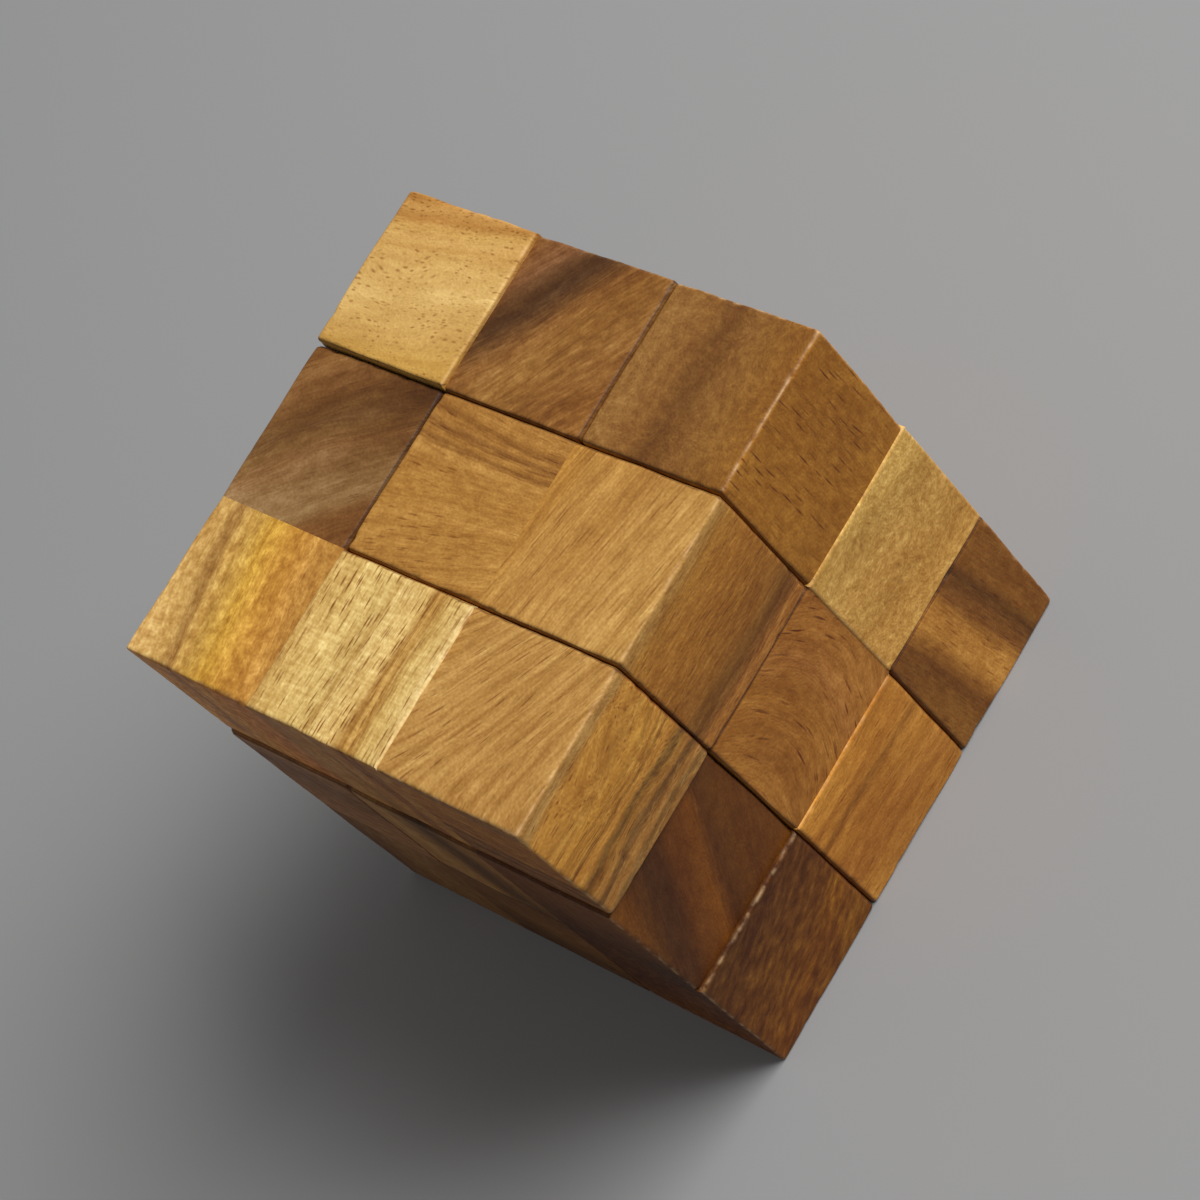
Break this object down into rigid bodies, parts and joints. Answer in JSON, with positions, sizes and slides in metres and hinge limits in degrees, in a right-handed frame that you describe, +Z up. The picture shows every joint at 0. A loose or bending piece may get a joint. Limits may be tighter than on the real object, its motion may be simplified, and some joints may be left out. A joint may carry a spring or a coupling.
{
  "type": "wooden block puzzle cube",
  "caption": "Wooden take-apart puzzle: unit blocks glued into interlocking pieces that pack together into a solid cube.",
  "frame": {"origin": "under the middle of the assembled cube, on the plane of its base", "axes": "+Z up, out of the side with the pale corner block; -Y out of the front side, +X to its right"},
  "size_m": [0.06, 0.06, 0.0607],
  "materials": {
    "tee_block_1_wood": "sanded and oiled, dark brown with a light stripe",
    "tee_block_2_wood": "sanded and oiled, golden brown",
    "tee_block_3_wood": "sanded and oiled, brown",
    "tee_block_4_wood": "sanded and oiled, brown",
    "zed_block_1_wood": "sanded and oiled, orange brown",
    "zed_block_2_wood": "sanded and oiled, reddish brown with curly grain",
    "zed_block_3_wood": "sanded and oiled, golden and mottled",
    "zed_block_4_wood": "sanded and oiled, brown",
    "vee_block_1_wood": "sanded and oiled, dark reddish brown",
    "vee_block_2_wood": "sanded and oiled, dark brown with a slanting streak",
    "vee_block_3_wood": "sanded and oiled, brown",
    "tripod_block_1_wood": "sanded and oiled, reddish brown",
    "tripod_block_2_wood": "sanded and oiled, brown",
    "tripod_block_3_wood": "sanded and oiled, golden brown",
    "tripod_block_4_wood": "sanded and oiled, brown",
    "middle_screw_block_1_wood": "sanded and oiled, brown",
    "middle_screw_block_2_wood": "sanded and oiled, brown",
    "middle_screw_block_3_wood": "sanded and oiled, light golden",
    "middle_screw_block_4_wood": "sanded and oiled, golden brown",
    "corner_screw_block_1_wood": "sanded and oiled, brown",
    "corner_screw_block_2_wood": "sanded and oiled, golden",
    "corner_screw_block_3_wood": "sanded and oiled, brown with a dark streak",
    "corner_screw_block_4_wood": "sanded and oiled, pale golden end grain",
    "ell_block_1_wood": "sanded and oiled, golden brown",
    "ell_block_2_wood": "sanded and oiled, pale yellow sapwood",
    "ell_block_3_wood": "sanded and oiled, yellow orange",
    "ell_block_4_wood": "sanded and oiled, dark grey brown"
  },
  "bodies": {
    "tee_piece": {"tee_block_1": "tee_block_1_wood", "tee_block_2": "tee_block_2_wood", "tee_block_3": "tee_block_3_wood", "tee_block_4": "tee_block_4_wood"},
    "zed_piece": {"zed_block_1": "zed_block_1_wood", "zed_block_2": "zed_block_2_wood", "zed_block_3": "zed_block_3_wood", "zed_block_4": "zed_block_4_wood"},
    "vee_piece": {"vee_block_1": "vee_block_1_wood", "vee_block_2": "vee_block_2_wood", "vee_block_3": "vee_block_3_wood"},
    "tripod_piece": {"tripod_block_1": "tripod_block_1_wood", "tripod_block_2": "tripod_block_2_wood", "tripod_block_3": "tripod_block_3_wood", "tripod_block_4": "tripod_block_4_wood"},
    "middle_screw_piece": {"middle_screw_block_1": "middle_screw_block_1_wood", "middle_screw_block_2": "middle_screw_block_2_wood", "middle_screw_block_3": "middle_screw_block_3_wood", "middle_screw_block_4": "middle_screw_block_4_wood"},
    "corner_screw_piece": {"corner_screw_block_1": "corner_screw_block_1_wood", "corner_screw_block_2": "corner_screw_block_2_wood", "corner_screw_block_3": "corner_screw_block_3_wood", "corner_screw_block_4": "corner_screw_block_4_wood"},
    "ell_piece": {"ell_block_1": "ell_block_1_wood", "ell_block_2": "ell_block_2_wood", "ell_block_3": "ell_block_3_wood", "ell_block_4": "ell_block_4_wood"}
  },
  "joints": [
    {"name": "middle_screw_lift", "type": "slide", "parent": "tee_piece", "child": "middle_screw_piece", "axis": [0, 0, 1], "range_m": [0, 0.048]},
    {"name": "ell_lift", "type": "slide", "parent": "middle_screw_piece", "child": "ell_piece", "axis": [0, 0, 1], "range_m": [0, 0.028]},
    {"name": "corner_screw_slide", "type": "slide", "parent": "middle_screw_piece", "child": "corner_screw_piece", "axis": [1, 0, 0], "range_m": [0, 0.048]},
    {"name": "tripod_slide", "type": "slide", "parent": "tee_piece", "child": "tripod_piece", "axis": [0, 1, 0], "range_m": [0, 0.048]},
    {"name": "vee_slide", "type": "slide", "parent": "tee_piece", "child": "vee_piece", "axis": [-1, 0, 0], "range_m": [0, 0.028]},
    {"name": "zed_slide", "type": "slide", "parent": "tee_piece", "child": "zed_piece", "axis": [0, -1, 0], "range_m": [0, 0.028]}
  ]
}
